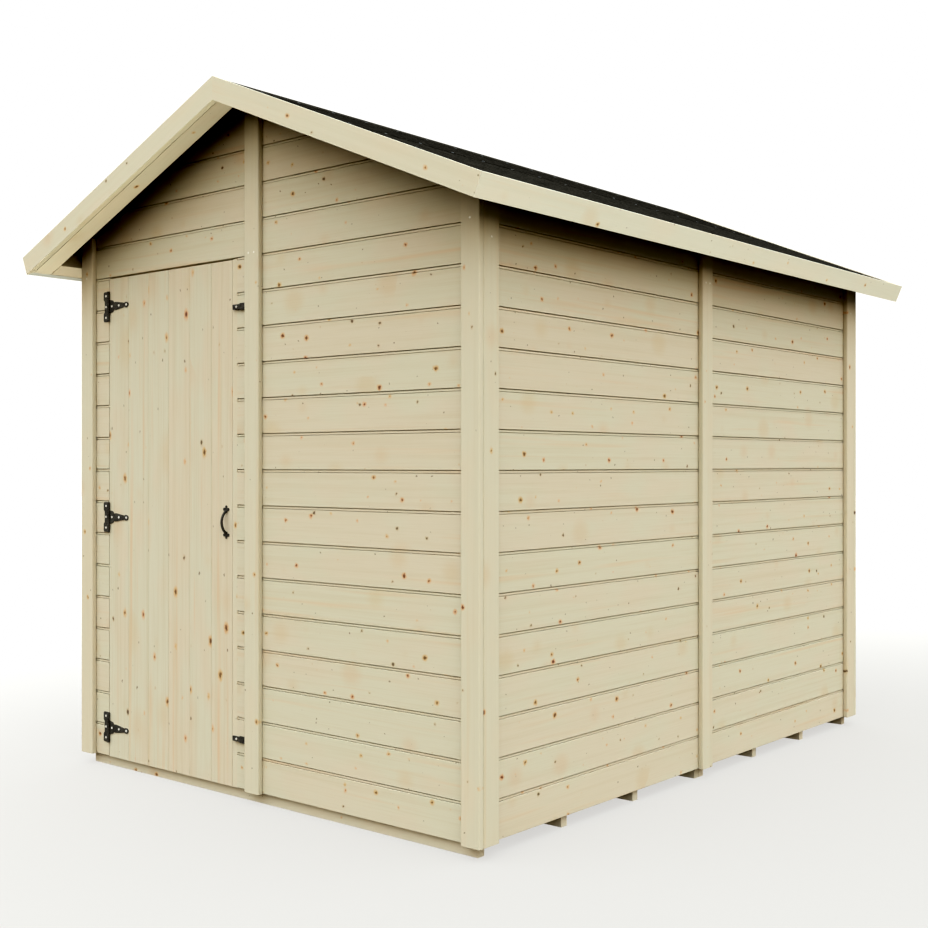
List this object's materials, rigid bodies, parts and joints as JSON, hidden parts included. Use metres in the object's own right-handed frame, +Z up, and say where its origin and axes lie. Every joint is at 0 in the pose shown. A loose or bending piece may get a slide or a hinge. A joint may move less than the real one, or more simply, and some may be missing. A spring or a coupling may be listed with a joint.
{
  "type": "garden shed",
  "caption": "Windowless apex garden shed in pale shiplap, with a boarded door on black tee hinges, turn buttons, a bow pull, corner boards, a floor on bearers and a felted roof.",
  "frame": {"origin": "on the ground under the middle of the shed", "axes": "+Z up, the front gable with the door faces -Y, +X to the right of someone facing the door, +Y along the ridge to the rear gable"},
  "size_m": [2.106, 2.734, 2.2383],
  "materials": {
    "cladding": "planed untreated pine shiplap, pale straw with small knots",
    "door_timber": "planed untreated pine match boarding, upright grain",
    "trim_timber": "planed untreated pine, pale and nearly clear of knots",
    "framing": "sawn and planed softwood battens",
    "floor_timber": "planed softwood boards and sawn bearers",
    "roof_board": "resin bonded roof board, dark brown",
    "roof_felt": "bitumen roofing felt with fine charcoal mineral grit",
    "black_iron": "black japanned pressed steel, lightly textured",
    "screw_steel": "bright zinc plated screw heads"
  },
  "bodies": {
    "shed": {"floor_bearers": "floor_timber", "floor_boards": "floor_timber", "left_wall": "cladding", "right_wall": "cladding", "rear_wall": "cladding", "front_wall_right": "cladding", "front_wall_over_door": "cladding", "front_wall_hinge_side": "cladding", "front_wall_lock_side": "cladding", "door_jamb": "trim_timber", "door_stops": "framing", "left_frame_rails": "framing", "left_frame_studs": "framing", "right_frame_rails": "framing", "right_frame_studs": "framing", "rear_frame_rails": "framing", "rear_frame_studs": "framing", "front_frame_rails": "framing", "front_frame_studs": "framing", "front_trims": "trim_timber", "rear_trims": "trim_timber", "left_trims": "trim_timber", "right_trims": "trim_timber", "roof_deck_left": "roof_board", "roof_deck_right": "roof_board", "roof_felt_left": "roof_felt", "roof_felt_right": "roof_felt", "ridge_cap": "roof_felt", "barge_boards_left": "trim_timber", "barge_boards_right": "trim_timber", "eaves_fascias": "trim_timber", "rake_rails_left": "trim_timber", "rake_rails_right": "trim_timber", "eaves_rails": "trim_timber", "roof_purlins": "framing", "truss_rafters": "framing", "truss_collar": "framing", "hinge_plates": "black_iron", "turn_button_screws": "screw_steel"},
    "door": {"door_boards": "door_timber", "door_ledges": "framing", "door_braces": "framing", "hinge_straps": "black_iron", "pull_handle": "black_iron"},
    "turn_button_top": {"turn_button_top": "black_iron"},
    "turn_button_bottom": {"turn_button_bottom": "black_iron"}
  },
  "joints": [
    {"name": "door_swing", "type": "hinge", "parent": "shed", "child": "door", "pos_m": [-0.7765, -1.201, 0.876], "axis": [0, 0, -1], "range_deg": [0, 165]},
    {"name": "top_button_turn", "type": "hinge", "parent": "shed", "child": "turn_button_top", "pos_m": [-0.082, -1.1988, 1.559], "axis": [0, -1, 0], "range_deg": [0, 180]},
    {"name": "bottom_button_turn", "type": "hinge", "parent": "shed", "child": "turn_button_bottom", "pos_m": [-0.082, -1.1988, 0.193], "axis": [0, -1, 0], "range_deg": [0, 180]}
  ]
}
